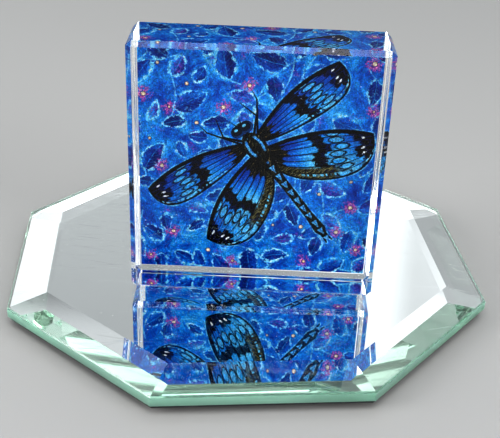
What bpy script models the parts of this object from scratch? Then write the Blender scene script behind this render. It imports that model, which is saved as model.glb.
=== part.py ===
"""A clear glass picture block that stands on an octagonal bevelled mirror plate.

Run it with: blender --background --python part.py

Units are metres and +Z is up. The block's picture faces -Y. The origin lies on
the surface that the pads stand on, below the middle of the mirror plate. The
block stands nearer the plate's front than its middle, and the plate is turned a
few degrees about the vertical against the block.
"""

import math

import bmesh
import bpy
from mathutils import Matrix, Vector

MM = 0.001

# Clearance between two pieces that touch in the real object.
TOUCHING_GAP = 0.3 * MM

# The clear block.
BLOCK_WIDTH = 76.0 * MM
BLOCK_DEPTH = 20.0 * MM
BLOCK_HEIGHT = 81.0 * MM
BLOCK_CHAMFER = 1.5 * MM
BLOCK_CENTRE_X = 3.0 * MM
BLOCK_CENTRE_Y = -19.0 * MM

# The thin panel with the picture, on the flat part of the block's back face.
PANEL_THICKNESS = 0.8 * MM
PANEL_MARGIN = 0.3 * MM

# The mirror plate: a regular octagon of glass with a wide, shallow bevel.
PLATE_SIDES = 8
PLATE_ACROSS_FLATS = 152.0 * MM
PLATE_THICKNESS = 6.0 * MM
PLATE_BEVEL_WIDTH = 12.0 * MM
PLATE_BEVEL_DROP = 2.4 * MM
PLATE_EDGE_ARRIS = 0.4 * MM
PLATE_TURN = math.radians(6.0)

# The silvering and its dark film, under the glass.
BACKING_THICKNESS = 0.6 * MM
BACKING_MARGIN = 0.5 * MM

# The round pads that the plate stands on.
PAD_RADIUS = 6.0 * MM
PAD_HEIGHT = 1.8 * MM
PAD_ARRIS = 0.3 * MM
PAD_SIDES = 40
PAD_CIRCLE_RADIUS = 58.0 * MM
PAD_PLACES = {
    "pad_front_left": math.radians(225.0),
    "pad_front_right": math.radians(315.0),
    "pad_back_right": math.radians(45.0),
    "pad_back_left": math.radians(135.0),
}

# Heights above the surface, from the pads upwards.
BACKING_BOTTOM = PAD_HEIGHT + TOUCHING_GAP
GLASS_BOTTOM = BACKING_BOTTOM + BACKING_THICKNESS + TOUCHING_GAP
GLASS_TOP = GLASS_BOTTOM + PLATE_THICKNESS
BLOCK_BOTTOM = GLASS_TOP + TOUCHING_GAP

SMOOTH_ANGLE = math.radians(30.0)


def clear_scene():
    """Remove every object that the scene starts with."""
    for item in list(bpy.data.objects):
        bpy.data.objects.remove(item, do_unlink=True)


def make_material(name, colour, roughness, metallic=0.0, transmission=0.0, ior=1.5):
    """A plain Principled material, opaque or see-through."""
    material = bpy.data.materials.new(name)
    material.use_nodes = True
    shader = material.node_tree.nodes["Principled BSDF"]
    shader.inputs["Base Color"].default_value = (*colour, 1.0)
    shader.inputs["Roughness"].default_value = roughness
    shader.inputs["Metallic"].default_value = metallic
    shader.inputs["Transmission Weight"].default_value = transmission
    shader.inputs["IOR"].default_value = ior
    return material


def add_object(name, mesh, material):
    """Put a finished mesh in the scene as one named piece."""
    mesh.materials.append(material)
    piece = bpy.data.objects.new(name, mesh)
    bpy.context.scene.collection.objects.link(piece)
    return piece


def box_mesh(name, width, depth, height):
    """A box about its own centre."""
    shape = bmesh.new()
    bmesh.ops.create_cube(shape, size=1.0, matrix=Matrix.Diagonal((width, depth, height, 1.0)))
    mesh = bpy.data.meshes.new(name)
    shape.to_mesh(mesh)
    shape.free()
    return mesh


def polygon_ring(sides, corner_radius, height):
    """Corners of a regular polygon, one flat side facing -Y, counter-clockwise from above."""
    half_step = math.pi / sides
    ring = []
    for index in range(sides):
        angle = -math.pi / 2.0 - half_step + 2.0 * half_step * index
        ring.append(Vector((corner_radius * math.cos(angle), corner_radius * math.sin(angle), height)))
    return ring


def stacked_mesh(name, rings):
    """A closed solid through rings of equal length, listed from the lowest to the highest."""
    shape = bmesh.new()
    loops = [[shape.verts.new(corner) for corner in ring] for ring in rings]
    sides = len(rings[0])
    shape.faces.new(list(reversed(loops[0])))
    for lower, upper in zip(loops, loops[1:]):
        for index in range(sides):
            following = (index + 1) % sides
            shape.faces.new((lower[index], lower[following], upper[following], upper[index]))
    shape.faces.new(loops[-1])
    mesh = bpy.data.meshes.new(name)
    shape.to_mesh(mesh)
    shape.free()
    return mesh


def octagon_ring(across_flats, height):
    """The plate's outline at one height, for a given distance across its flats."""
    corner_radius = across_flats / 2.0 / math.cos(math.pi / PLATE_SIDES)
    return polygon_ring(PLATE_SIDES, corner_radius, height)


def build_crystal_block():
    """The clear block: a box with one flat chamfer along each of its twelve edges."""
    glass = make_material("block_glass", (0.97, 0.99, 1.0), 0.0, transmission=1.0, ior=1.52)
    mesh = box_mesh("crystal_block", BLOCK_WIDTH, BLOCK_DEPTH, BLOCK_HEIGHT)
    block = add_object("crystal_block", mesh, glass)
    block.location = (BLOCK_CENTRE_X, BLOCK_CENTRE_Y, BLOCK_BOTTOM + BLOCK_HEIGHT / 2.0)
    chamfer = block.modifiers.new("edge_chamfer", "BEVEL")
    chamfer.width = BLOCK_CHAMFER
    chamfer.segments = 1
    chamfer.limit_method = "NONE"
    return block


def build_picture_panel():
    """The panel behind the block: as large as the flat inside the back chamfers, less a margin."""
    inset = 2.0 * (BLOCK_CHAMFER + PANEL_MARGIN)
    paint = make_material("panel_paint", (0.02, 0.12, 0.55), 0.45)
    mesh = box_mesh("picture_panel", BLOCK_WIDTH - inset, PANEL_THICKNESS, BLOCK_HEIGHT - inset)
    panel = add_object("picture_panel", mesh, paint)
    behind = BLOCK_DEPTH / 2.0 + TOUCHING_GAP + PANEL_THICKNESS / 2.0
    panel.location = (BLOCK_CENTRE_X, BLOCK_CENTRE_Y + behind, BLOCK_BOTTOM + BLOCK_HEIGHT / 2.0)
    return panel


def build_mirror_glass():
    """The plate: an upright ground edge between two narrow arrises, then the wide bevel."""
    glass = make_material("plate_glass", (0.80, 0.95, 0.88), 0.0, transmission=1.0, ior=1.52)
    narrowed = PLATE_ACROSS_FLATS - 2.0 * PLATE_EDGE_ARRIS
    edge_top = PLATE_THICKNESS - PLATE_BEVEL_DROP
    rings = [
        octagon_ring(narrowed, 0.0),
        octagon_ring(PLATE_ACROSS_FLATS, PLATE_EDGE_ARRIS),
        octagon_ring(PLATE_ACROSS_FLATS, edge_top - PLATE_EDGE_ARRIS),
        octagon_ring(narrowed, edge_top),
        octagon_ring(PLATE_ACROSS_FLATS - 2.0 * PLATE_BEVEL_WIDTH, PLATE_THICKNESS),
    ]
    plate = add_object("mirror_glass", stacked_mesh("mirror_glass", rings), glass)
    plate.location.z = GLASS_BOTTOM
    plate.rotation_euler.z = PLATE_TURN
    return plate


def build_mirror_backing():
    """The silvering and its film: a thin octagon just inside the plate's outline."""
    film = make_material("backing_film", (0.02, 0.02, 0.022), 0.5)
    across = PLATE_ACROSS_FLATS - 2.0 * (PLATE_EDGE_ARRIS + BACKING_MARGIN)
    rings = [octagon_ring(across, 0.0), octagon_ring(across, BACKING_THICKNESS)]
    backing = add_object("mirror_backing", stacked_mesh("mirror_backing", rings), film)
    backing.location.z = BACKING_BOTTOM
    backing.rotation_euler.z = PLATE_TURN
    return backing


def build_pads():
    """Four round pads with softened rims, spaced evenly below the plate."""
    rubber = make_material("pad_rubber", (0.03, 0.03, 0.03), 0.7)
    rings = [
        polygon_ring(PAD_SIDES, PAD_RADIUS - PAD_ARRIS, 0.0),
        polygon_ring(PAD_SIDES, PAD_RADIUS, PAD_ARRIS),
        polygon_ring(PAD_SIDES, PAD_RADIUS, PAD_HEIGHT - PAD_ARRIS),
        polygon_ring(PAD_SIDES, PAD_RADIUS - PAD_ARRIS, PAD_HEIGHT),
    ]
    for name, place in PAD_PLACES.items():
        pad = add_object(name, stacked_mesh(name, rings), rubber)
        angle = place + PLATE_TURN
        pad.location.x = PAD_CIRCLE_RADIUS * math.cos(angle)
        pad.location.y = PAD_CIRCLE_RADIUS * math.sin(angle)
        pad.data.shade_smooth()
        pad.data.set_sharp_from_angle(angle=SMOOTH_ANGLE)


def main():
    clear_scene()
    build_crystal_block()
    build_picture_panel()
    build_mirror_glass()
    build_mirror_backing()
    build_pads()


main()
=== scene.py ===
"""Looks of a clear glass picture block that stands on an octagonal bevelled mirror plate.

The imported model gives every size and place. This script adds the finish of each surface, the
painted picture behind the block, the floor, the light and the camera. Units are metres unless a
name or a comment says otherwise, +Z is up and the picture faces -Y.
"""

import math

import bpy
import numpy as np
from mathutils import Matrix, Vector


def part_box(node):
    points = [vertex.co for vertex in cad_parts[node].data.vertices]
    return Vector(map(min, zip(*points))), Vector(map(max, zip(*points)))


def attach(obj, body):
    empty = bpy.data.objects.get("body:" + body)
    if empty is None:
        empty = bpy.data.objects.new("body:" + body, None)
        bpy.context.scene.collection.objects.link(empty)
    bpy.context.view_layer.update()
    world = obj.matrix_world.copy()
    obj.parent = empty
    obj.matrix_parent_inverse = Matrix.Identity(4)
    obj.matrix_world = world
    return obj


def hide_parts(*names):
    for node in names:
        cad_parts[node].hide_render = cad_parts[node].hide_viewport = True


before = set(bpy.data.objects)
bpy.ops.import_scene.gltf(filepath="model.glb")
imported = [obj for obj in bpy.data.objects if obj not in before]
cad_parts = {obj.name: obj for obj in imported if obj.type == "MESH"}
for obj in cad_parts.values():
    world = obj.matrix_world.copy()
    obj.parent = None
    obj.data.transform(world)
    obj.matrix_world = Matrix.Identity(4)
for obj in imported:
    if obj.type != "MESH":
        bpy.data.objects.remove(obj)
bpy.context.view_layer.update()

MM = 0.001

# The camera: where it stands, how it is turned from +Y, tipped down and rolled, and its lens.
CAMERA_PLACE = (0.0034, -0.2833, 0.1756)
CAMERA_TURN = math.radians(-0.37)
CAMERA_PITCH = math.radians(28.757)
CAMERA_ROLL = math.radians(2.28)
CAMERA_LENS = 68.785
CAMERA_SENSOR = 36.0


# ---------------------------------------------------------------- node trees

class Value:
    """One output of a node. The signs +, - and *, and abs, add a Math node to its paintbox."""

    def __init__(self, box, socket):
        self.box = box
        self.socket = socket

    def __add__(self, other):
        return self.box.math("ADD", self, other)

    def __radd__(self, other):
        return self.box.math("ADD", other, self)

    def __sub__(self, other):
        return self.box.math("SUBTRACT", self, other)

    def __rsub__(self, other):
        return self.box.math("SUBTRACT", other, self)

    def __mul__(self, other):
        return self.box.math("MULTIPLY", self, other)

    def __abs__(self):
        return self.box.math("ABSOLUTE", self)


class Paintbox:
    """Short ways to add nodes to one tree. A value, a number or a colour can feed any input."""

    def __init__(self, tree):
        self.tree = tree

    def feed(self, socket, value):
        """Link an input to a value, or set its own number, vector or colour."""
        if isinstance(value, Value):
            self.tree.links.new(value.socket, socket)
        elif isinstance(value, tuple) and len(value) == 3 and socket.type == "RGBA":
            socket.default_value = (*value, 1.0)
        else:
            socket.default_value = value

    def values(self, kind, feeds=None, **settings):
        """Every output of a new node, which has its settings and its inputs fed by name or number."""
        node = self.tree.nodes.new(kind)
        for name, value in settings.items():
            setattr(node, name, value)
        for key, value in (feeds or {}).items():
            self.feed(node.inputs[key], value)
        return [Value(self, output) for output in node.outputs]

    def value(self, kind, output, feeds=None, **settings):
        """The first output of a new node that has this name or type."""
        made = self.values(kind, feeds, **settings)
        return next(value for value in made if output in (value.socket.name, value.socket.type))

    def math(self, operation, one, two=0.0):
        return self.value("ShaderNodeMath", "Value", {0: one, 1: two}, operation=operation)

    def both(self, one, two):
        return self.math("MINIMUM", one, two)

    def either(self, one, two):
        return self.math("MAXIMUM", one, two)

    def step(self, value, low, high, start=0.0, end=1.0):
        """A soft step: start at low and before it, end at high and past it. Low may be the greater."""
        feeds = {"Value": value, "From Min": low, "From Max": high, "To Min": start, "To Max": end}
        return self.value("ShaderNodeMapRange", "Result", feeds, interpolation_type="SMOOTHSTEP")

    def inside(self, distance, width=0.1):
        """1 where a distance is negative, with an edge of the given width."""
        return self.step(distance, -width, width, 1.0, 0.0)

    def line(self, distance, half_width, soft=0.1):
        """1 within half_width of where a distance is nought."""
        return self.inside(abs(distance) - half_width, soft)

    def glow(self, distance, reach):
        """1 at distance nought, falling off on both sides within about the reach."""
        return self.math("EXPONENT", abs(distance) * (-1.0 / reach))

    def oval(self, x, y, half_x, half_y):
        """Radius function of an oval: nought at its middle and 1 on its outline."""
        wide, tall = x * (1.0 / half_x), y * (1.0 / half_y)
        return self.math("SQRT", wide * wide + tall * tall)

    def colour(self, mask, under, over):
        """One colour laid over another through a mask. Inputs 6 and 7 are the node's two colours."""
        feeds = {"Factor": mask, 6: under, 7: over}
        return self.value("ShaderNodeMix", "RGBA", feeds, data_type="RGBA")

    def layers(self, colour, *coats):
        """A colour under coats of (mask, colour), laid one over another."""
        for mask, coat in coats:
            colour = self.colour(mask, colour, coat)
        return colour

    def ramp(self, value, stops):
        """Colour by value, through stops of (value, colour)."""
        colour = self.value("ShaderNodeValToRGB", "Color", {"Fac": value})
        entries = colour.socket.node.color_ramp.elements
        while len(entries) < len(stops):
            entries.new(0.5)
        for entry, (place, shade) in zip(entries, stops):
            entry.position = place
            entry.color = (*shade, 1.0)
        return colour

    def bright(self, colour, amount):
        """A colour or a vector, scaled."""
        feeds = {0: colour, "Scale": amount}
        return self.value("ShaderNodeVectorMath", "Vector", feeds, operation="SCALE")

    def vector(self, x=0.0, y=0.0, z=0.0):
        return self.value("ShaderNodeCombineXYZ", "Vector", {"X": x, "Y": y, "Z": z})

    def split(self, vector):
        return self.values("ShaderNodeSeparateXYZ", {"Vector": vector})

    def turned(self, vector, angle=0.0, scale=(1.0, 1.0, 1.0)):
        """A vector turned about Y, the picture's own axis, then scaled."""
        feeds = {"Vector": vector, "Rotation": (0.0, angle, 0.0), "Scale": scale}
        return self.value("ShaderNodeMapping", "Vector", feeds)

    def noise(self, vector, scale, detail=2.0, roughness=0.5, distortion=0.0):
        """Soft noise about a half. Its scale is in waves for each unit of the vector."""
        feeds = {"Vector": vector, "Scale": scale, "Detail": detail, "Roughness": roughness}
        return self.value("ShaderNodeTexNoise", "Fac", {**feeds, "Distortion": distortion})

    def uneven(self, *noise):
        """Soft noise about nought."""
        return self.noise(*noise) - 0.5

    def cells(self, vector, scale, feature="DISTANCE_TO_EDGE"):
        """Distance to the walls of scattered cells or, with the feature F1, to their middles."""
        feeds = {"Vector": vector, "Scale": scale}
        return self.value("ShaderNodeTexVoronoi", "Distance", feeds, feature=feature)

    def attribute(self, name):
        return self.value("ShaderNodeAttribute", "Fac", attribute_name=name)

    def place(self):
        """Object coordinates, in millimetres."""
        return self.bright(self.value("ShaderNodeTexCoord", "Object"), 1.0 / MM)


def new_group(name, takes, gives):
    """A node group with sockets of (name, kind): its paintbox, the values that it is given and the
    sockets that it puts out."""
    group = bpy.data.node_groups.new(name, "ShaderNodeTree")
    for way, sockets in (("INPUT", takes), ("OUTPUT", gives)):
        for socket, kind in sockets:
            group.interface.new_socket(socket, in_out=way, socket_type="NodeSocket" + kind)
    box = Paintbox(group)
    given = box.values("NodeGroupInput")[:len(takes)]
    return box, given, group.nodes.new("NodeGroupOutput").inputs


def new_material(name):
    """A material with nodes: its paintbox and its Principled shader."""
    material = bpy.data.materials.new(name)
    material.use_nodes = True
    return material, Paintbox(material.node_tree), material.node_tree.nodes["Principled BSDF"]


def new_object(name, data):
    """An object in the scene for a mesh, a light or a camera."""
    thing = bpy.data.objects.new(name, data)
    bpy.context.scene.collection.objects.link(thing)
    return thing


def dress(thing, material):
    """Give an object one material: in each slot that it has, or in a new one."""
    if not thing.material_slots:
        thing.data.materials.append(None)
    for slot in thing.material_slots:
        slot.material = material


def emboss(box, shader, height, strength, distance):
    """Bump a shader's normal by a height over the surface, of a distance in millimetres."""
    feeds = {"Height": height, "Strength": strength, "Distance": distance * MM}
    box.feed(shader.inputs["Normal"], box.value("ShaderNodeBump", "Normal", feeds))


# ---------------------------------------------------------------- wear and dust
# Places and spacings are in millimetres.

# The turn of each set of scratches, and the spacing of the lanes that they lie in.
SCRATCH_SETS = ((0.9, 3.1), (-0.5, 4.3), (2.1, 5.2))


def handling_marks():
    """Node group for marks on polished glass, from a place: fine straight scratches in three
    directions, dust specks and soft smudges, each as a mask."""
    masks = [(name, "Float") for name in ("Scratches", "Specks", "Smudges")]
    box, (place,), ends = new_group("handling_marks", [("Place", "Vector")], masks)
    scratches = 0.0
    for turn, spacing in SCRATCH_SETS:
        feeds = {"Vector": place, "Rotation": (0.0, 0.6 * turn, turn), "Scale": (0.06, 1.0, 1.0)}
        lane = box.value("ShaderNodeMapping", "Vector", feeds)
        thin = box.step(box.cells(lane, 1.0 / spacing), 0.0, 0.006, 1.0, 0.0)
        kept = box.step(box.noise(lane, 0.7 / spacing, 1.0), 0.63, 0.68)
        scratches = box.either(scratches, thin * kept)
    box.feed(ends["Scratches"], scratches)
    speck = box.step(box.cells(place, 0.42, "F1"), 0.035, 0.075, 1.0, 0.0)
    crowded = box.step(box.noise(place, 0.06, 2.0), 0.42, 0.58, 0.15, 1.0)
    box.feed(ends["Specks"], speck * crowded)
    smudge = box.noise(place, 0.05, 5.0, 0.62, 0.6)
    box.feed(ends["Smudges"], box.step(smudge, 0.48, 0.72))
    return box.tree


def fine_dust():
    """Node group for dry dust on matt stock: a mask of lint and clouds, from a place and an amount."""
    takes = [("Place", "Vector"), ("Amount", "Float")]
    box, (place, amount), ends = new_group("fine_dust", takes, [("Dust", "Float")])
    lint = box.step(box.cells(place, 1.1, "F1"), 0.06, 0.16, 1.0, 0.0)
    cloud = box.step(box.noise(place, 0.22, 6.0, 0.7), 0.42, 0.78)
    box.feed(ends["Dust"], amount * box.either(lint * 0.8, cloud))
    return box.tree


MARKS = handling_marks()
DUST = fine_dust()


def marks_at(box, place):
    """Masks of scratches, specks and smudges at a place."""
    return box.values("ShaderNodeGroup", {"Place": place}, node_tree=MARKS)


def dulled_by(box, marks, scratched, specked, smudged):
    """Roughness of polished glass, from how far each kind of mark dulls it."""
    scratches, specks, smudges = marks
    worn = box.either(specks * specked, scratches * scratched)
    return box.either(worn, smudges * smudged)


def dust_at(box, place, amount):
    """The mask of fine dust at a place."""
    return box.value("ShaderNodeGroup", "Dust", {"Place": place, "Amount": amount}, node_tree=DUST)


# ---------------------------------------------------------------- the picture's drawing
# Its plane has u to the right and v upwards, both in millimetres from its middle. Distances are in
# millimetres, negative inside a shape.

FINE_COLUMNS = 272
FINE_ROWS = 290

INSECT_PLACE = (0.4, 3.5)
INSECT_TILT = math.radians(38.0)
FORE_WING = dict(
    root=(1.4, 3.2), lift=math.radians(14.0), length=35.0, front=2.0, back=15.0,
    swell=0.72, fade=0.24, blunt=6.0, droop=2.4,
)
HIND_WING = dict(
    root=(1.4, -1.0), lift=math.radians(-20.0), length=33.5, front=1.6, back=24.0,
    swell=0.46, fade=0.42, blunt=5.0, droop=3.4,
)

# Tapered rods in the insect's own axes: start, end and the thickness at each. The abdomen and its
# claspers come first, then two pairs of legs and the feelers.
BODY_RODS = (
    ((0.0, -3.0), (0.0, -12.0), 2.5, 1.45),
    ((0.0, -12.0), (0.0, -27.0), 1.45, 1.35),
    ((0.0, -27.0), (0.0, -33.5), 1.35, 1.85),
    ((0.0, -33.5), (0.0, -36.0), 1.85, 1.0),
    ((0.55, -36.0), (1.0, -38.8), 0.5, 0.2),
)
LEG_RODS = (
    ((2.0, 5.0), (6.2, 9.6), 0.42, 0.3),
    ((6.2, 9.6), (4.6, 15.6), 0.28, 0.16),
    ((2.4, 3.6), (9.4, 13.8), 0.36, 0.24),
    ((9.4, 13.8), (9.9, 17.6), 0.22, 0.12),
    ((0.8, 10.2), (1.7, 13.0), 0.22, 0.08),
)


def capsule(u, v, start, end, thick_start, thick_end):
    """Distance to a tapered rod: that to the nearest point of its line, less the thickness there."""
    du, dv = end[0] - start[0], end[1] - start[1]
    share = np.clip(((u - start[0]) * du + (v - start[1]) * dv) / (du * du + dv * dv), 0.0, 1.0)
    away = np.hypot(u - start[0] - share * du, v - start[1] - share * dv)
    return away - (thick_start + (thick_end - thick_start) * share)


def ellipse(u, v, centre, half_u, half_v):
    """Distance to an ellipse, to first order: its radius function less one, over that one's slope."""
    p, q = (u - centre[0]) / half_u, (v - centre[1]) / half_v
    radius = np.hypot(p, q)
    slope = np.hypot(p / half_u, q / half_v) / np.maximum(radius, 1e-6)
    return (radius - 1.0) / np.maximum(slope, 1e-6)


def polygon(u, v, outline):
    """Signed distance to a closed outline: the least distance to its sides, negative inside, where
    a ray to the right crosses an odd number of sides."""
    least = np.full(u.shape, 1e9)
    inside = np.zeros(u.shape, bool)
    for (u0, v0), (u1, v1) in zip(outline, np.roll(outline, -1, axis=0)):
        du, dv = u1 - u0, v1 - v0
        share = np.clip(((u - u0) * du + (v - v0) * dv) / (du * du + dv * dv), 0.0, 1.0)
        least = np.minimum(least, np.hypot(u - u0 - share * du, v - v0 - share * dv))
        if v0 != v1:
            crosses = (v0 > v) != (v1 > v)
            inside ^= crosses & (u < u0 + (v - v0) * du / dv)
    return np.where(inside, -least, least)


def wing_edges(share, wing):
    """Front and back edge of a wing at a share of its length, in millimetres from its axis: the
    front bows like a sine, the back swells as a power of the share, and both close round a blunt
    tip that droops backwards."""
    share = np.clip(share, 0.0, 1.0)
    closing = np.sqrt(1.0 - share ** wing["blunt"])
    droop = wing["droop"] * share**3
    front = closing * (0.8 + wing["front"] * np.sin(math.pi * share) ** 0.8) - droop
    swell = share ** wing["swell"] * (1.0 - wing["fade"] * share)
    back = -closing * (0.9 + wing["back"] * swell) - droop
    return front, back


def wing_fields(side, ahead, wing):
    """A wing's distance, share of length, share of chord and distance across, in the insect's own
    axes: side runs out from its middle line, and ahead towards its head. The outline's points crowd
    towards the tip, by a square law."""
    cosine, sine = math.cos(wing["lift"]), math.sin(wing["lift"])
    p, q = side - wing["root"][0], ahead - wing["root"][1]
    along, across = p * cosine + q * sine, -p * sine + q * cosine
    share = 1.0 - np.linspace(1.0, 0.0, 64) ** 2
    front, back = wing_edges(share, wing)
    outline = np.concatenate([
        np.stack([share * wing["length"], front], 1),
        np.stack([share * wing["length"], back], 1)[-2::-1],
    ])
    distance = polygon(along, across, outline)
    front, back = wing_edges(np.minimum(along / wing["length"], 0.985), wing)
    chord = (across - back) / np.maximum(front - back, 0.5)
    return distance, along / wing["length"], chord, across


def insect_fields(u, v):
    """Every distance and coordinate that the insect's colours need, mirrored about its middle line:
    two pairs of wings, a body of ellipses and rods, and thin rods for legs and feelers."""
    cosine, sine = math.cos(INSECT_TILT), math.sin(INSECT_TILT)
    p, q = u - INSECT_PLACE[0], v - INSECT_PLACE[1]
    side, ahead = p * cosine + q * sine, -p * sine + q * cosine
    out = abs(side)
    fore = wing_fields(out, ahead, FORE_WING)
    hind = wing_fields(out, ahead, HIND_WING)
    on_top = fore[0] < np.minimum(hind[0], 0.25)
    thorax = ellipse(side, ahead, (0.0, 1.2), 3.5, 5.6)
    head = ellipse(side, ahead, (0.0, 9.2), 2.0, 1.5)
    body = np.minimum.reduce([thorax, head] + [capsule(out, ahead, *rod) for rod in BODY_RODS])
    return {
        "wing_edge": np.minimum(fore[0], hind[0]),
        "wing_along": np.where(on_top, fore[1], hind[1]),
        "wing_chord": np.where(on_top, fore[2], hind[2]),
        "wing_across": np.where(on_top, fore[3], hind[3]),
        "fore_edge": fore[0],
        "body_edge": body,
        "body_along": ahead,
        "body_side": side,
        "eye_edge": ellipse(out, ahead, (1.5, 8.5), 2.2, 1.95),
        "eye_glint": ellipse(side + 0.25, ahead, (np.sign(side) * 1.5, 9.2), 0.62, 0.42),
        "leg_edge": np.minimum.reduce([capsule(out, ahead, *rod) for rod in LEG_RODS]),
    }


# The distance that stands for nothing near, and the clearances between what is drawn.
FAR = 9.0
LEAF_GAP = 1.1
BERRY_TO_LEAF = 1.0
BERRY_TO_INSECT = 2.2
BERRY_TO_BERRY = 8.0

# A sprig: its steps and their length, how many lie between two leaves, and how far a leaf leans.
SPRIG_STEPS = 22
SPRIG_STRIDE = 1.3
LEAF_EVERY = 4
LEAF_LEAN = 0.9
SLIMMEST_LEAF = 0.48


def leaf_fields(u, v, leaf):
    """A leaf's distance, and its place across and along: two arcs that meet at its base and tip,
    narrowed towards the tip and bent to one side by a parabola."""
    cosine, sine = math.cos(leaf["heading"]), math.sin(leaf["heading"])
    p, q = u - leaf["base"][0], v - leaf["base"][1]
    half = leaf["length"] / 2.0
    along = p * cosine + q * sine - half
    across = -p * sine + q * cosine - leaf["bend"] * (1.0 - (along / half) ** 2) * half
    radius = (half * half + (leaf["width"] / 2.0) ** 2) / leaf["width"]
    offset = radius - leaf["width"] / 2.0
    x, y = abs(across * (1.0 + 0.32 * along / half)), abs(along)
    beyond = (y - half) * offset > x * half
    distance = np.where(beyond, np.hypot(x, y - half), np.hypot(x + offset, y) - radius)
    return distance, across, along / half


def leaf_spots(leaf):
    """Points down a leaf's middle, each with the leaf's half width there."""
    share = np.array([0.15, 0.35, 0.55, 0.75, 0.95])
    return np.stack([
        leaf["base"][0] + math.cos(leaf["heading"]) * leaf["length"] * share,
        leaf["base"][1] + math.sin(leaf["heading"]) * leaf["length"] * share,
        leaf["width"] / 2.0 * np.sin(math.pi * share) ** 0.7,
    ], axis=1)


def draw_leaf(chance, base, heading, length, widest, bend):
    """A leaf whose share of width and whose bend to either side are left to chance."""
    width = length * chance.uniform(SLIMMEST_LEAF, widest)
    return dict(base=base, heading=heading, length=length, width=width, bend=chance.uniform(-bend, bend))


def has_room(leaf, taken):
    """Whether a leaf keeps its gap to every spot already taken."""
    spots = leaf_spots(leaf)
    gap = np.hypot(spots[:, None, 0] - taken[None, :, 0], spots[:, None, 1] - taken[None, :, 1])
    return np.all(gap - spots[:, None, 2] - taken[None, :, 2] > LEAF_GAP)


def grow_sprig(start, heading, turn, chance, taken):
    """One arched stem with a leaf to each side in turn and one at its tip: its path, and the leaves
    that have room, each with its step."""
    where, path, kept = np.array(start), [], []
    last = SPRIG_STEPS - 1
    for step in range(SPRIG_STEPS):
        path.append(where.copy())
        if step % LEAF_EVERY == LEAF_EVERY - 1 or step == last:
            side = LEAF_LEAN if (step // LEAF_EVERY) % 2 else -LEAF_LEAN
            lean = 0.0 if step == last else side
            length = chance.uniform(8.6, 11.6) * (1.0 - 0.012 * step)
            leaf = draw_leaf(chance, where.copy(), heading + lean, length, 0.58, 0.14)
            if has_room(leaf, taken):
                kept.append((step, leaf))
        where += SPRIG_STRIDE * np.array([math.cos(heading), math.sin(heading)])
        heading += turn
    return path, kept


def lay(fields, edge, **new):
    """Put new fields over the old ones wherever the new distance, the one named by edge, is less."""
    nearer = new[edge] < fields[edge]
    for name, values in new.items():
        fields[name] = np.where(nearer, values, fields[name])


def lay_leaf(fields, u, v, leaf, tone):
    distance, across, along = leaf_fields(u, v, leaf)
    lay(fields, "leaf_edge", leaf_edge=distance, leaf_across=across, leaf_along=along, leaf_tone=tone)


def lay_leaves(fields, u, v, chance):
    """Sprigs that start on a jittered lattice and run round the picture's middle, one way or the
    other, then loose leaves in the room that is left. Puts out the spots that they take."""
    taken = np.zeros((0, 3))
    lattice = [(a, b) for b in np.arange(-38.0, 42.0, 10.0) for a in np.arange(-36.0, 40.0, 10.0)]
    for number, (a, b) in enumerate(chance.permutation(lattice)):
        a, b = a + chance.uniform(-3, 3), b + chance.uniform(-3, 3)
        heading = math.atan2(b, a) + math.pi / 2 + chance.uniform(-0.9, 0.9) + math.pi * (number % 2)
        turn = chance.uniform(0.03, 0.08) * chance.choice([-1.0, 1.0])
        path, kept = grow_sprig((a, b), heading, turn, chance, taken)
        if len(kept) < 2:
            continue
        last = kept[-1][0]
        for start, end in zip(path[:last:2], path[2:last + 2:2]):
            fields["stem"] = np.minimum(fields["stem"], capsule(u, v, start, end, 0.0, 0.0))
        for _, leaf in kept:
            taken = np.vstack([taken, leaf_spots(leaf)])
            lay_leaf(fields, u, v, leaf, chance.random())
    for a, b in np.stack([chance.uniform(-38, 38, 900), chance.uniform(-40, 40, 900)], 1):
        length = chance.uniform(6.0, 10.5)
        heading = math.atan2(b, a) + chance.uniform(-2.2, 2.2)
        leaf = draw_leaf(chance, (a, b), heading, length, 0.62, 0.16)
        if has_room(leaf, taken):
            taken = np.vstack([taken, leaf_spots(leaf)])
            lay_leaf(fields, u, v, leaf, chance.random())
    return taken


def lay_berries(fields, u, v, chance, taken):
    """Berries well apart, in places that leaves and insect leave free."""
    tried = np.stack([chance.uniform(-35, 35, 600), chance.uniform(-37.5, 37.5, 600)], 1)
    insect = insect_fields(tried[:, 0], tried[:, 1])
    clear = np.minimum(insect["wing_edge"], insect["body_edge"]) > BERRY_TO_INSECT
    spots = np.zeros((0, 2))
    for a, b in tried[clear]:
        in_leaf = (np.hypot(taken[:, 0] - a, taken[:, 1] - b) - taken[:, 2]).min() < BERRY_TO_LEAF
        if in_leaf or (spots.size and np.hypot(spots[:, 0] - a, spots[:, 1] - b).min() < BERRY_TO_BERRY):
            continue
        spots = np.vstack([spots, [a, b]])
        distance = np.hypot(u - a, v - b) - chance.uniform(0.34, 0.72)
        lay(fields, "berry", berry=distance, berry_tone=chance.random())


def ground_fields(u, v):
    """Every distance and coordinate that the ground's colours need: its leaves, stems and berries."""
    chance = np.random.default_rng(11)
    fields = {name: np.zeros(u.shape) for name in ("leaf_across", "leaf_along", "leaf_tone", "berry_tone")}
    fields.update({name: np.full(u.shape, FAR) for name in ("leaf_edge", "stem", "berry")})
    taken = lay_leaves(fields, u, v, chance)
    lay_berries(fields, u, v, chance, taken)
    return fields


# ---------------------------------------------------------------- the picture's colours
# A tone runs from 0, the night between the leaves, to 1, pale foam. A noise's scale is in waves a
# millimetre, and line widths are in millimetres.

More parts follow.
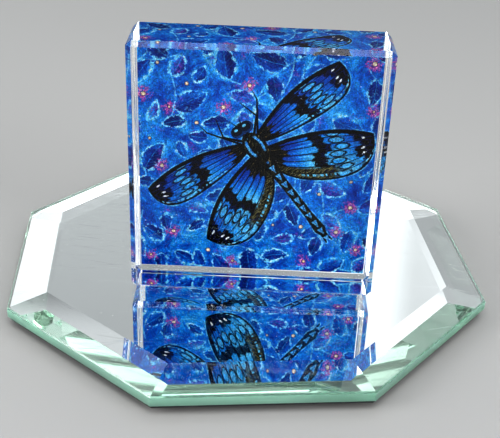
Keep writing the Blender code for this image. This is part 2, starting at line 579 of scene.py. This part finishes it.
NIGHT = (0.0004, 0.015, 0.18)
DEEP = (0.0006, 0.026, 0.27)
ULTRAMARINE = (0.0006, 0.070, 0.48)
AZURE = (0.002, 0.185, 0.69)
SKY = (0.022, 0.39, 0.86)
PALE = (0.19, 0.67, 0.95)
WHITE = (0.88, 0.95, 0.98)
VIOLET = (0.15, 0.05, 0.50)
MAGENTA = (0.50, 0.07, 0.42)
PINK = (0.95, 0.42, 0.60)
GOLD = (0.62, 0.42, 0.12)
PALE_GOLD = (0.80, 0.66, 0.36)
CREAM = (0.95, 0.90, 0.74)
STRAW = (0.34, 0.31, 0.12)
OLIVE = (0.045, 0.046, 0.016)
BLACK = (0.0006, 0.0008, 0.0022)
EYE_DARK = (0.001, 0.005, 0.020)
EYE_TEAL = (0.003, 0.060, 0.24)
CARD = (0.78, 0.76, 0.71)
CARD_GREY = (0.70, 0.675, 0.62)
CARD_FIBRE = (0.45, 0.41, 0.34)
CARD_AGED = (0.60, 0.54, 0.43)
CARD_DUST = (0.50, 0.49, 0.47)

# Where a wing's marks lie and how far they reach, in shares of its length; a window's and a fleck's
# half sizes have their share of a lane too. Lanes run between the long veins.
WING_LANES = 7.0
BASE_END = 0.205
BAND_MIDDLE = 0.50
BAND_HALF = 0.075
WINDOW_MIDDLE = 0.665
WINDOW_HALF = (0.060, 0.36)
TIP_START = 0.855
TIP_FLECK_MIDDLE = 0.905
TIP_FLECK_HALF = (0.018, 0.22)
MARK_SOFT = 0.015


def blue_wash(box, tone):
    """The picture's blues in one ramp, from the night between the leaves to pale foam."""
    stops = ((0.0, NIGHT), (0.2, DEEP), (0.42, ULTRAMARINE), (0.62, AZURE), (0.82, SKY), (1.0, PALE))
    return box.ramp(tone, stops)


def ground_colour(box, place):
    """Blue ground: a mottled wash that glows along each leaf's outline and darkens between leaves
    and inside them, broken pale outlines and stems, berries, blossom specks and flecks."""
    wobble = box.uneven(place, 0.55) * 1.3 + box.uneven(place, 2.6, 3.0) * 0.7
    leaf = box.attribute("leaf_edge") + wobble
    within = box.inside(leaf, 0.5)
    tint = box.attribute("leaf_tone") - 0.5
    across, along = box.attribute("leaf_across"), box.attribute("leaf_along")
    x, _, z = box.split(place)
    follow = box.vector(leaf * 1.7, x * 0.34, z * 0.34)
    brush = box.uneven(follow, 1.0, 4.0, 0.62)
    cloud = box.uneven(place, 0.115, 3.0, 0.62, 0.8)
    dab = box.uneven(place, 1.1, 3.0, 0.7)
    broken = box.noise(place, 0.62, 2.0, 0.6)

    tone = 0.55 + box.glow(leaf, 1.1) * 0.18
    tone += cloud * 1.30 + brush * 0.95
    tone += dab * 0.40
    shaded = box.step(across, -2.2, 1.8, -0.46, -0.10) + tint * 0.44
    tone += within * shaded

    # Violet and magenta in patches and over a few leaves.
    patch = box.step(box.noise(place, 0.21), 0.60, 0.70)
    rose = box.either(patch, within * box.step(tint, 0.18, 0.22))
    violet = rose * box.step(dab, -0.06, 0.10, 0.0, 0.60)
    magenta = rose * box.step(box.noise(place, 1.8, 3.0, 0.7), 0.58, 0.66, 0.0, 0.75)

    # A leaf's slanting ribs and its middle vein.
    rib = along * 4.2 + abs(across) * -0.85
    rib = box.line(box.math("FRACT", rib) - 0.5, 0.04, 0.08)
    rib *= within * box.step(dab, -0.1, 0.1, 0.1, 0.6)
    middle = box.line(across + wobble * 0.35, 0.09, 0.10)
    middle *= within * box.step(brush, -0.15, 0.1, 0.2, 0.95)

    # Stems, and each leaf's ragged outline with its white core.
    stem = box.line(box.attribute("stem") + wobble * 0.4, 0.20, 0.16)
    stem *= box.step(box.attribute("leaf_edge"), -0.1, 0.2)
    stem *= box.step(broken, 0.34, 0.55, 0.25, 0.95)
    outline = box.line(leaf + dab, box.step(broken, 0.36, 0.68, 0.0, 0.48), 0.13)
    outline *= box.step(broken, 0.30, 0.50, 0.20, 1.0)
    core = box.line(leaf, 0.16, 0.14) * box.step(broken, 0.52, 0.64)
    core *= box.step(dab, -0.06, 0.1)

    foam = box.step(box.noise(place, 0.19), 0.56, 0.68) * box.step(dab, 0.03, 0.2)
    fleck = box.step(box.cells(place, 0.62, "F1"), 0.07, 0.13, 1.0, 0.0)
    fleck *= box.step(box.noise(place, 0.33), 0.58, 0.62)

    # Berries, each in a dark rim and a third of them in petals.
    berry, berry_tone = box.attribute("berry"), box.attribute("berry_tone")
    berry += wobble * 0.30
    petals = box.noise(place, 1.3, 2.0, 0.6, 1.2) + box.either(berry, 0.0) * -0.10
    petals = box.step(petals, 0.36, 0.44) * box.step(berry_tone, 0.64, 0.66)
    petals *= box.inside(berry - 2.4, 0.6)
    blush = petals * box.step(box.noise(place, 2.4), 0.52, 0.62)
    heart = berry + (0.26 + box.uneven(place, 2.2, 1.0))
    return box.layers(
        blue_wash(box, tone), (violet, VIOLET), (magenta, MAGENTA), (rib, SKY), (middle, SKY),
        (stem, PALE), (outline, PALE), (core, WHITE), (foam * 0.75, PALE), (fleck, WHITE),
        (petals * box.step(dab, -0.16, 0.02, 0.25, 0.92), MAGENTA),
        (blush * box.inside(berry - 1.3, 0.5), PINK),
        (box.inside(berry - 0.22, 0.14) * 0.85, NIGHT),
        (box.inside(berry, 0.12), box.colour(berry_tone, GOLD, PALE_GOLD)),
        (box.inside(heart, 0.14), CREAM),
    )


def wing_colour(box, place):
    """Azure wings in long brush strokes, with black bases, bands, tips and veins, pale windows
    between the bands, a row of white flecks before the tip, and a hairy olive and straw margin
    along the hind wings."""
    along, chord, across = (box.attribute(name) for name in ("wing_along", "wing_chord", "wing_across"))
    jitter = box.uneven(place, 1.1, 3.0, 0.7)
    lane = chord * WING_LANES
    lane_place = box.math("FRACT", lane) - 0.5
    lane_edge = 0.5 - abs(lane_place)
    feeds = {"W": box.math("FLOOR", lane)}
    lane_chance = box.value("ShaderNodeTexWhiteNoise", "Value", feeds, noise_dimensions="1D")
    streak_place = box.vector(along * 2.6, chord * 22.0)
    streak = box.uneven(streak_place, 1.0, 4.0, 0.68)
    hairline = box.uneven(box.vector(along * 5.0, chord * 54.0), 1.0, 2.0, 0.6)
    hind = box.step(box.attribute("fore_edge"), 0.0, 0.3)

    # Strokes, lighter outwards and towards the back edge, darker beside the veins and at the tip.
    tone = box.step(along, 0.14, 0.46, 0.38, 0.70) + streak * 1.30
    tone += hind * box.step(along, 0.14, 0.36, 0.04, 0.22)
    tone += box.step(chord, 0.15, 1.0, 0.14, -0.24)
    tone -= lane_place * lane_place * 0.22
    tone += jitter * 0.25 + hairline * 0.70
    tone -= box.step(along, 0.66, 0.84, 0.0, 0.22)
    dash = box.step(box.noise(box.bright(streak_place, 1.9), 1.0), 0.63, 0.72)
    dash *= box.step(along, 0.15, 0.35, 0.0, 0.85)

    # Black base, band and tip, which reach along the lanes in fingers, with fur on the base.
    ragged = jitter * 0.09 + (lane_chance - 0.5) * 0.07
    reach = along + ragged
    fingers = lane_edge * 0.05
    band = box.line(reach - BAND_MIDDLE, BAND_HALF - fingers, 0.008)
    tip = box.step(reach + fingers + chord * 0.04, TIP_START, TIP_START + MARK_SOFT)
    base = box.step(reach + fingers * 1.6, BASE_END, BASE_END - MARK_SOFT)
    dark = box.either(box.either(band, tip), base)
    fur = base * box.step(streak, 0.05, 0.14) * box.step(along, 0.05, 0.09)

    # The hind wing's back margin: slanting hairs on black.
    margin = box.step(chord + ragged * 1.4, 0.27, 0.20)
    margin = hind * margin * box.step(reach, 0.66, 0.54)
    slant = box.vector(along * 9.0 + across * 0.13, along * -26.0 + across * 2.0)
    hair = box.noise(slant, 1.6, 3.0, 0.7)

    # Pale windows in black rims, a net of fine veins, and the long veins between the lanes.
    window = box.oval(reach - WINDOW_MIDDLE, lane_place, *WINDOW_HALF)
    net_place = box.vector(along * 16.0, across * 0.9)
    net = box.step(box.cells(net_place, 0.62), 0.0, 0.10, 1.0, 0.0)
    vein = lane_edge - box.step(along, 0.0, 1.0, 0.085, 0.045)

    # White flecks before the tip, and fine specks, fainter on the black.
    spot = box.oval(reach - TIP_FLECK_MIDDLE, lane_place, *TIP_FLECK_HALF)
    speck = box.step(box.noise(place, 3.2), 0.68, 0.73, 0.0, 0.8)

    # A black border, thickest at the front edge, with pale scallops behind.
    rim = box.attribute("wing_edge") + jitter * 0.7
    border = rim * -1.0 - box.step(chord, 0.72, 0.95, 0.62, 1.35)
    scallop = box.step(chord, 0.075, 0.090) * box.step(chord, 0.135, 0.120)
    beat = box.noise(box.vector(along * 30.0), 1.0, 0.0)
    scallop *= box.step(beat, 0.48, 0.54)
    return box.layers(
        blue_wash(box, tone), (dash, PALE), (dark, BLACK),
        (fur * 0.85, box.colour(box.step(jitter, 0.02, 0.12), OLIVE, GOLD)),
        (margin, BLACK),
        (margin * box.step(hair, 0.44, 0.56, 0.0, 0.9), OLIVE),
        (margin * box.step(hair, 0.52, 0.62, 0.0, 0.9), STRAW),
        (box.step(window, 1.5, 1.15), BLACK),
        (box.step(window, 1.0, 0.86), box.colour(box.step(streak, -0.12, 0.12), SKY, PALE)),
        (net * box.step(along, 0.40, 0.6, 0.0, 0.5), NIGHT),
        (box.inside(vein, 0.03), BLACK),
        (box.step(spot, 1.1, 0.85) * box.step(lane_chance, 0.25, 0.3), WHITE),
        (speck * box.step(dark, 0.0, 1.0, 1.0, 0.35), WHITE),
        (box.inside(border, 0.14), BLACK),
        (scallop * box.step(along, 0.25, 0.3), PALE),
        (box.line(box.attribute("fore_edge"), 0.42, 0.12), BLACK),
    )


def body_colour(box, place):
    """Black body with azure bars on the thorax, ringed abdomen, and olive and gold dabs."""
    along, side = box.attribute("body_along"), box.attribute("body_side")
    jitter = box.uneven(place, 1.6, 3.0) * 0.9
    out = abs(side)
    dab = box.noise(box.turned(place, -0.66, (1.0, 1.0, 0.3)), 1.9, 3.0, 0.7)

    # Two bars bowed along the thorax, and a saddle with a dark seam on each ring of the abdomen.
    from_middle = along - 1.4
    bowed = from_middle * from_middle * 0.060
    stripe = box.line(out + bowed - 2.1 + jitter * 0.9, 0.40, 0.16)
    stripe *= box.line(along - 1.6 + jitter * 1.2, 2.9, 0.5)
    segment = box.math("FRACT", along * -0.30 + 0.15)
    taper = (0.95 - segment) * 1.15 + jitter * 0.9
    saddle = box.inside(out - taper, 0.14) * box.step(segment, 0.14, 0.20)
    saddle *= box.step(along, -5.2, -4.4, 1.0, 0.0)
    seam = box.line(side, 0.07, 0.10) * box.step(segment, 0.0, 0.1, 0.2, 0.8)
    mark = box.colour(box.step(box.noise(place, 2.2), 0.4, 0.6), AZURE, PALE)

    glint = box.line(side + 0.5, 0.10, 0.12)
    glint *= box.step(box.noise(place, 0.9), 0.52, 0.6)
    return box.layers(
        BLACK, (box.step(dab, 0.52, 0.62, 0.0, 0.8), OLIVE), (box.step(dab, 0.64, 0.70, 0.0, 0.8), GOLD),
        (box.either(stripe, saddle) * 0.95, box.colour(seam * 0.8, mark, BLACK)),
        (glint * box.step(along, -5.0, 6.0, 0.0, 0.5), PALE),
    )


def eye_colour(box, eye, place):
    """Dark glassy eyes: near black, with a teal crescent inside the rim and one pale glint each."""
    depth = eye + box.uneven(place, 1.4) * 0.5
    glint = box.attribute("eye_glint")
    crescent = box.step(depth, -1.1, -0.5) * box.step(glint, 0.9, 1.9)
    rim, shine = box.step(eye, -0.26, -0.12), box.inside(glint, 0.14)
    return box.layers(EYE_DARK, (crescent, EYE_TEAL), (rim, BLACK), (shine, PALE))


def card_stock(box, place):
    """Off-white card: its colour and its grain. Short fibres lie both ways, it is toned towards its
    rim by age, and dust lies on it."""
    low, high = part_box("picture_panel")
    middle, half = (low + high) / 2.0 / MM, (high - low) / 2.0 / MM
    x, _, z = box.split(place)
    grain = box.noise(place, 1.4, 6.0, 0.7)
    colour = box.colour(box.step(grain, 0.3, 0.7), CARD, CARD_GREY)
    for angle in (0.5, -0.9):
        fibre = box.noise(box.turned(place, angle, (0.25, 1.0, 2.4)), 1.6)
        colour = box.colour(box.step(fibre, 0.66, 0.70, 0.0, 0.35), colour, CARD_FIBRE)
    past_side = abs(x - middle.x) - half.x
    past_top = abs(z - middle.z) - half.z
    away = box.either(past_side, past_top) + (grain - 0.5) * 3.0
    aged = box.step(away, -5.0, 0.5, 0.0, 0.35)
    return box.layers(colour, (aged, CARD_AGED), (dust_at(box, place, 0.22), CARD_DUST)), grain


# The paint ends within this stretch behind the block's back face, in millimetres.
PAINT_END = (0.01, 0.05)


def painted_picture():
    """The picture's paint on its front, and plain card on its sides and back. The insect lies on
    the ground with a glow and a broken contour round it, and brush marks run over both."""
    material, box, shader = new_material("painted_picture")
    place = box.place()
    jitter = box.uneven(place, 2.0) * 0.4
    wings, body = box.attribute("wing_edge") + jitter, box.attribute("body_edge") + jitter
    legs = box.attribute("leg_edge") + jitter * 0.3
    eye = box.attribute("eye_edge") + jitter * 0.4
    insect = box.both(wings, body)
    glow = box.glow(box.either(insect - 0.6, 0.0), 1.1)
    contour = box.line(insect - 0.22, 0.14, 0.12)
    contour *= box.step(box.noise(place, 0.5), 0.4, 0.6)
    colour = box.layers(
        ground_colour(box, place), (glow * 0.42, AZURE), (contour, PALE),
        (box.inside(legs, 0.08), BLACK), (box.inside(wings), wing_colour(box, place)),
        (box.inside(body), body_colour(box, place)), (box.inside(eye), eye_colour(box, eye, place)),
    )
    bristle = box.noise(box.turned(place, -0.5, (1.0, 1.0, 0.15)), 4.0)
    stipple = box.noise(place, 2.5, 2.0, 0.7)
    stroke = box.step(bristle, 0.2, 0.8, 0.86, 1.14) * box.step(stipple, 0.30, 0.70, 0.60, 1.44)

    block_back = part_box("crystal_block")[1].y / MM
    depth = box.split(place)[1]
    front = box.step(depth, block_back + PAINT_END[0], block_back + PAINT_END[1], 1.0, 0.0)
    card, grain = card_stock(box, place)
    box.feed(shader.inputs["Base Color"], box.colour(front, card, box.bright(colour, stroke)))
    box.feed(shader.inputs["Roughness"], box.step(grain, 0.3, 0.7, 0.66, 0.82))
    shader.inputs["Specular IOR Level"].default_value = 0.0
    emboss(box, shader, grain, 0.35, 0.03)
    return material


PICTURE_BITE = 0.05 * MM
CARD_ARRIS = 0.1 * MM


def panel_surface(low, high, front):
    """Points and faces of a thin closed panel. Its front is a plane on a fine grid of u and v; its
    walls carry a profile back from the grid's rim, straight and then in by a small arris; its back
    is a fan about its middle."""
    middle = (low + high) / 2.0
    u = np.linspace(low.x, high.x, FINE_COLUMNS + 1)
    v = np.linspace(low.z, high.z, FINE_ROWS + 1)
    u, v = np.meshgrid(u, v)
    number = np.arange(u.size).reshape(u.shape)
    quads = np.stack([number[:-1, :-1], number[:-1, 1:], number[1:, 1:], number[1:, :-1]], -1)
    rim = np.concatenate([number[0, :-1], number[:-1, -1], number[-1, :0:-1], number[:0:-1, 0]])
    points = np.stack([u, np.full(u.shape, front), v], -1).reshape(-1, 3)
    faces = quads.reshape(-1, 4).tolist()
    first = rim
    for back, inset in ((high.y - CARD_ARRIS, 0.0), (high.y, CARD_ARRIS)):
        ring = points[rim]
        ring[:, 0] += (middle.x - ring[:, 0]) / (high.x - middle.x) * inset
        ring[:, 2] += (middle.z - ring[:, 2]) / (high.z - middle.z) * inset
        ring[:, 1] = back
        second = len(points) + np.arange(len(rim))
        faces += np.stack([first, second, np.roll(second, -1), np.roll(first, -1)], -1).tolist()
        points = np.concatenate([points, ring])
        first = second
    centre = np.full(len(first), len(points))
    points = np.concatenate([points, [[middle.x, high.y, middle.z]]])
    return points, faces + np.stack([first, centre, np.roll(first, -1)], -1).tolist()


def make_picture():
    """The picture: a thin panel whose mesh holds the drawing's fields as attributes. Its front lies
    a hair inside the block's glass, because the two are bonded with clear adhesive."""
    low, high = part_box("picture_panel")
    middle = (low + high) / 2.0
    points, faces = panel_surface(low, high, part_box("crystal_block")[1].y - PICTURE_BITE)
    mesh = bpy.data.meshes.new("picture")
    mesh.from_pydata(points.tolist(), [], faces)
    mesh.validate()
    u, v = (points[:, 0] - middle.x) / MM, (points[:, 2] - middle.z) / MM
    for name, values in {**ground_fields(u, v), **insect_fields(u, v)}.items():
        mesh.attributes.new(name, "FLOAT", "POINT").data.foreach_set("value", values.astype(np.float32))
    picture = new_object("picture", mesh)
    dress(picture, painted_picture())
    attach(picture, "root")
    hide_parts("picture_panel")


# ---------------------------------------------------------------- glass, silver and rubber

GLASS_IOR = 1.52
CLEAR = (1.0, 1.0, 1.0)

# Colour and density of what each glass absorbs.
BLOCK_TINT = ((0.90, 0.98, 1.0), 1.6)
PLATE_TINT = ((0.50, 0.86, 0.76), 3.5)

# Surface tints of the plate's satin edge, and of the painted shade that darkens its foot.
EDGE_GREEN = (0.68, 0.94, 0.84)
EDGE_PAINTED_SHADE = (0.34, 0.51, 0.43)

SILVER = (0.975, 0.98, 0.97)
SILVER_DULL = (0.95, 0.96, 0.945)
FILM = (0.022, 0.022, 0.026)
FILM_WORN = (0.045, 0.045, 0.048)
FILM_DUST = (0.22, 0.21, 0.20)
RUBBER = (0.012, 0.012, 0.013)
RUBBER_WORN = (0.035, 0.035, 0.036)
RUBBER_DUST = (0.16, 0.155, 0.15)

# Heights in millimetres: the edge's painted shade fades between the first two, and film gives way to
# silver between the last two.
EDGE_FOOT = 3.4
EDGE_HEAD = 6.2
SILVER_FOOT = 2.94
SILVER_HEAD = 2.96


def make_clear(shader):
    """Set a Principled shader to plain clear glass."""
    shader.inputs["Base Color"].default_value = (*CLEAR, 1.0)
    shader.inputs["Transmission Weight"].default_value = 1.0
    shader.inputs["IOR"].default_value = GLASS_IOR


def tint_inside(box, colour, density):
    """Absorption in the bulk of a glass."""
    feeds = {"Color": (*colour, 1.0), "Density": density}
    volume = box.value("ShaderNodeVolumeAbsorption", "Volume", feeds)
    box.feed(box.tree.nodes["Material Output"].inputs["Volume"], volume)


def clear_block_glass():
    """Optical glass of the block: polished faces with faint marks, and polishing lines, fine and
    broad, drawn along each chamfer, where the normal is oblique."""
    material, box, shader = new_material("clear_crystal")
    make_clear(shader)
    tint_inside(box, *BLOCK_TINT)
    place = box.place()
    normal = box.split(box.value("ShaderNodeNewGeometry", "True Normal"))
    across = [abs(share) for share in normal]
    lines = 0.0
    for axis, stretch in enumerate(((0.05, 2.6, 2.6), (2.6, 0.05, 2.6), (2.6, 2.6, 0.05))):
        lane = box.value("ShaderNodeVectorMath", "Vector", {0: place, 1: stretch}, operation="MULTIPLY")
        others = [across[other] for other in range(3) if other != axis]
        oblique = box.step(box.both(*others), 0.3, 0.5)
        line = box.noise(lane, 1.0, 3.0, 0.6) + box.noise(lane, 0.45, 1.0) * 4.0
        lines += oblique * line
    emboss(box, shader, lines, 0.45, 0.06)
    box.feed(shader.inputs["Roughness"], dulled_by(box, marks_at(box, place), 0.10, 0.32, 0.012))
    return material


def float_plate_glass():
    """Green-tinted float glass: polished top and bevel, an upright edge in satin with painted shade that
    darkens it towards its foot, arrises in finer satin, and marks of handling."""
    material, box, shader = new_material("green_float_glass")
    make_clear(shader)
    tint_inside(box, *PLATE_TINT)
    place = box.place()
    normal = box.split(box.value("ShaderNodeNewGeometry", "True Normal"))
    steep = abs(normal[2])
    upright = box.step(steep, 0.75, 0.90, 1.0, 0.0)
    satin = upright * box.step(steep, 0.2, 0.5, 0.35, 0.16)
    marks = marks_at(box, place)
    box.feed(shader.inputs["Roughness"], box.either(satin, dulled_by(box, marks, 0.12, 0.45, 0.02)))
    scratches, specks, _ = marks
    emboss(box, shader, specks * 0.6 - scratches, 0.3, 0.03)
    # Painted shade: the upright edge's colour turns darker towards its foot, between EDGE_FOOT and
    # EDGE_HEAD.
    foot = box.step(box.split(place)[2], EDGE_FOOT, EDGE_HEAD, 1.0, 0.0)
    painted_shade = upright * foot
    tint = box.colour(upright, CLEAR, EDGE_GREEN)
    box.feed(shader.inputs["Base Color"], box.colour(painted_shade, tint, EDGE_PAINTED_SHADE))
    return material


def silvering():
    """Bright, faintly clouded silver against the glass, dark dusty film on the sides and below."""
    material, box, shader = new_material("silver_and_film")
    place = box.place()
    silver = box.step(box.split(place)[2], SILVER_FOOT, SILVER_HEAD)
    tone = box.noise(place, 0.03, 4.0, 0.6)
    bright = box.colour(box.step(tone, 0.3, 0.7), SILVER, SILVER_DULL)
    film = box.colour(box.noise(place, 2.0, 5.0, 0.7), FILM, FILM_WORN)
    film = box.colour(dust_at(box, place, 0.35), film, FILM_DUST)
    box.feed(shader.inputs["Base Color"], box.colour(silver, film, bright))
    box.feed(shader.inputs["Metallic"], silver)
    box.feed(shader.inputs["Roughness"], box.step(silver, 0.0, 1.0, 0.55, 0.0))
    return material


def pad_rubber():
    """Matt black rubber with fine grain and dust."""
    material, box, shader = new_material("matt_rubber")
    place = box.place()
    grain = box.noise(place, 6.0, 4.0)
    rubber = box.colour(grain, RUBBER, RUBBER_WORN)
    box.feed(shader.inputs["Base Color"], box.colour(dust_at(box, place, 0.5), rubber, RUBBER_DUST))
    box.feed(shader.inputs["Roughness"], box.step(grain, 0.3, 0.7, 0.62, 0.8))
    emboss(box, shader, grain, 0.4, 0.03)
    return material


PLATE_SIDES = 8
PLATE_TURN = math.radians(6.0)
SILVER_BITE = 0.02 * MM


def make_silvering():
    """The silvered backing: an octagon carried up a straight profile, its top a hair inside the
    glass, because the silver lies on it."""
    low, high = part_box("mirror_backing")
    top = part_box("mirror_glass")[0].z + SILVER_BITE
    half_step = math.pi / PLATE_SIDES
    reach = (high.x - low.x) / 2.0 / math.cos(half_step - PLATE_TURN)
    sides = np.arange(PLATE_SIDES)
    turns = PLATE_TURN - math.pi / 2.0 - half_step + sides * 2.0 * half_step
    x, y = reach * np.cos(turns), reach * np.sin(turns)
    points = np.concatenate([np.stack([x, y, np.full(PLATE_SIDES, level)], 1) for level in (low.z, top)])
    following = np.roll(sides, -1)
    walls = np.stack([sides, following, following + PLATE_SIDES, sides + PLATE_SIDES], 1)
    mesh = bpy.data.meshes.new("silvered_backing")
    ends = [sides[::-1].tolist(), (sides + PLATE_SIDES).tolist()]
    mesh.from_pydata(points.tolist(), [], ends + walls.tolist())
    backing = new_object("silvered_backing", mesh)
    dress(backing, silvering())
    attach(backing, "root")
    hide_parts("mirror_backing")


# ---------------------------------------------------------------- floor, light and camera

FLOOR_HALF = 8.0
FLOOR_GREY = (0.318, 0.315, 0.308)
STUDIO_WHITE = (0.93, 0.965, 1.0)

# Each softbox: its place, what it aims at, its width and height, and its power in watts.
SOFTBOXES = {
    "overhead": ((0.0, -0.35, 1.0), (0.0, -0.02, 0.05), (0.9, 0.6), 3.9),
    "front_left": ((-1.05, -0.38, 0.48), (0.0, 0.0, 0.05), (0.6, 0.5), 8.5),
    "front_right": ((0.85, -0.70, 0.45), (0.0, 0.0, 0.05), (0.6, 0.5), 7.0),
}


def make_floor():
    """A plain pale floor: one large square of matt paper."""
    mesh = bpy.data.meshes.new("floor")
    corners = [(FLOOR_HALF * x, FLOOR_HALF * y, 0.0) for x, y in ((-1, -1), (1, -1), (1, 1), (-1, 1))]
    mesh.from_pydata(corners, [], [(0, 1, 2, 3)])
    floor = new_object("floor", mesh)
    material, box, shader = new_material("floor_paper")
    box.feed(shader.inputs["Base Color"], FLOOR_GREY)
    shader.inputs["Roughness"].default_value = 0.9
    dress(floor, material)


def make_world():
    """Soft studio surround, given as strength by direction: way runs to the right, behind the
    object and up, each from -1 to 1."""
    world = bpy.data.worlds.new("studio")
    bpy.context.scene.world = world
    world.use_nodes = True
    box = Paintbox(world.node_tree)
    background = world.node_tree.nodes["Background"]
    way = box.split(box.value("ShaderNodeTexCoord", "Generated"))

    # Dim left of the middle, a bright upright panel just right of it, and a little dimmer high up.
    strength = box.step(way[0], -0.05, 0.085, 0.43, 0.95)
    strength -= box.step(way[0], 0.13, 0.17, 0.0, 0.30)
    strength *= box.step(way[2], 0.40, 0.60, 1.10, 0.90)

    # Even flanks at both sides.
    flank = box.step(abs(way[0]), 0.34, 0.52)
    strength = box.either(strength, flank * 0.50)

    # Behind: a dark strip low down, which the block's top reflects, over a grey one.
    behind = box.step(way[1], 0.45, 0.75) * (1.0 - flank)
    strip = box.step(way[2], 0.255, 0.285) * box.step(way[2], 0.43, 0.34)
    strength *= 1.0 - strip * behind * 0.80
    low = box.step(way[2], 0.285, 0.255) * behind
    strength += (0.30 - strength) * low

    # Dim in front, and a glow high up behind.
    front = box.step(way[1], -0.45, -0.75) * (1.0 - flank)
    strength *= 1.0 - front * 0.72
    high = box.step(way[2], 0.62, 0.80) * box.step(way[2], 0.82, 0.92, 1.0, 0.0)
    strength += high * box.step(way[1], 0.10, 0.35) * 1.8
    box.feed(background.inputs["Strength"], strength)
    background.inputs["Color"].default_value = (*STUDIO_WHITE, 1.0)


def make_softbox(name, place, aim, size, power):
    """A rectangular area light that faces what it aims at."""
    data = bpy.data.lights.new(name, "AREA")
    data.shape = "RECTANGLE"
    data.size, data.size_y = size
    data.energy = power
    light = new_object(name, data)
    light.location = place
    light.rotation_euler = (Vector(aim) - Vector(place)).to_track_quat("-Z", "Y").to_euler()


def make_camera():
    """The camera: turned clockwise from +Y, tipped down, then rolled about its own axis."""
    turn, pitch, roll = CAMERA_TURN, CAMERA_PITCH, CAMERA_ROLL
    ahead = Vector((math.sin(turn) * math.cos(pitch), math.cos(turn) * math.cos(pitch), -math.sin(pitch)))
    level = Vector((math.cos(turn), -math.sin(turn), 0.0))
    above = level.cross(ahead)
    right = math.cos(roll) * level + math.sin(roll) * above
    up = math.cos(roll) * above - math.sin(roll) * level
    data = bpy.data.cameras.new("camera")
    data.sensor_width = CAMERA_SENSOR
    data.lens = CAMERA_LENS
    data.clip_start = 0.01
    data.clip_end = 50.0
    camera = new_object("camera", data)
    matrix = Matrix((right, up, -ahead)).transposed().to_4x4()
    matrix.translation = Vector(CAMERA_PLACE)
    camera.matrix_world = matrix
    bpy.context.scene.camera = camera


def set_view_and_light_paths():
    """A contrasty view, and enough bounces for light to cross the plate many times between its
    silver and its polished top."""
    scene = bpy.context.scene
    scene.view_settings.view_transform = "Standard"
    scene.view_settings.look = "High Contrast"
    scene.cycles.max_bounces = 64
    scene.cycles.glossy_bounces = 64
    scene.cycles.transmission_bounces = 64


make_camera()
make_picture()
make_silvering()
dress(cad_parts["crystal_block"], clear_block_glass())
dress(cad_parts["mirror_glass"], float_plate_glass())
rubber = pad_rubber()
for side in ("front_left", "front_right", "back_left", "back_right"):
    dress(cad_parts["pad_" + side], rubber)
make_floor()
make_world()
for name, (place, aim, size, power) in SOFTBOXES.items():
    make_softbox(name, place, aim, size, power)
set_view_and_light_paths()
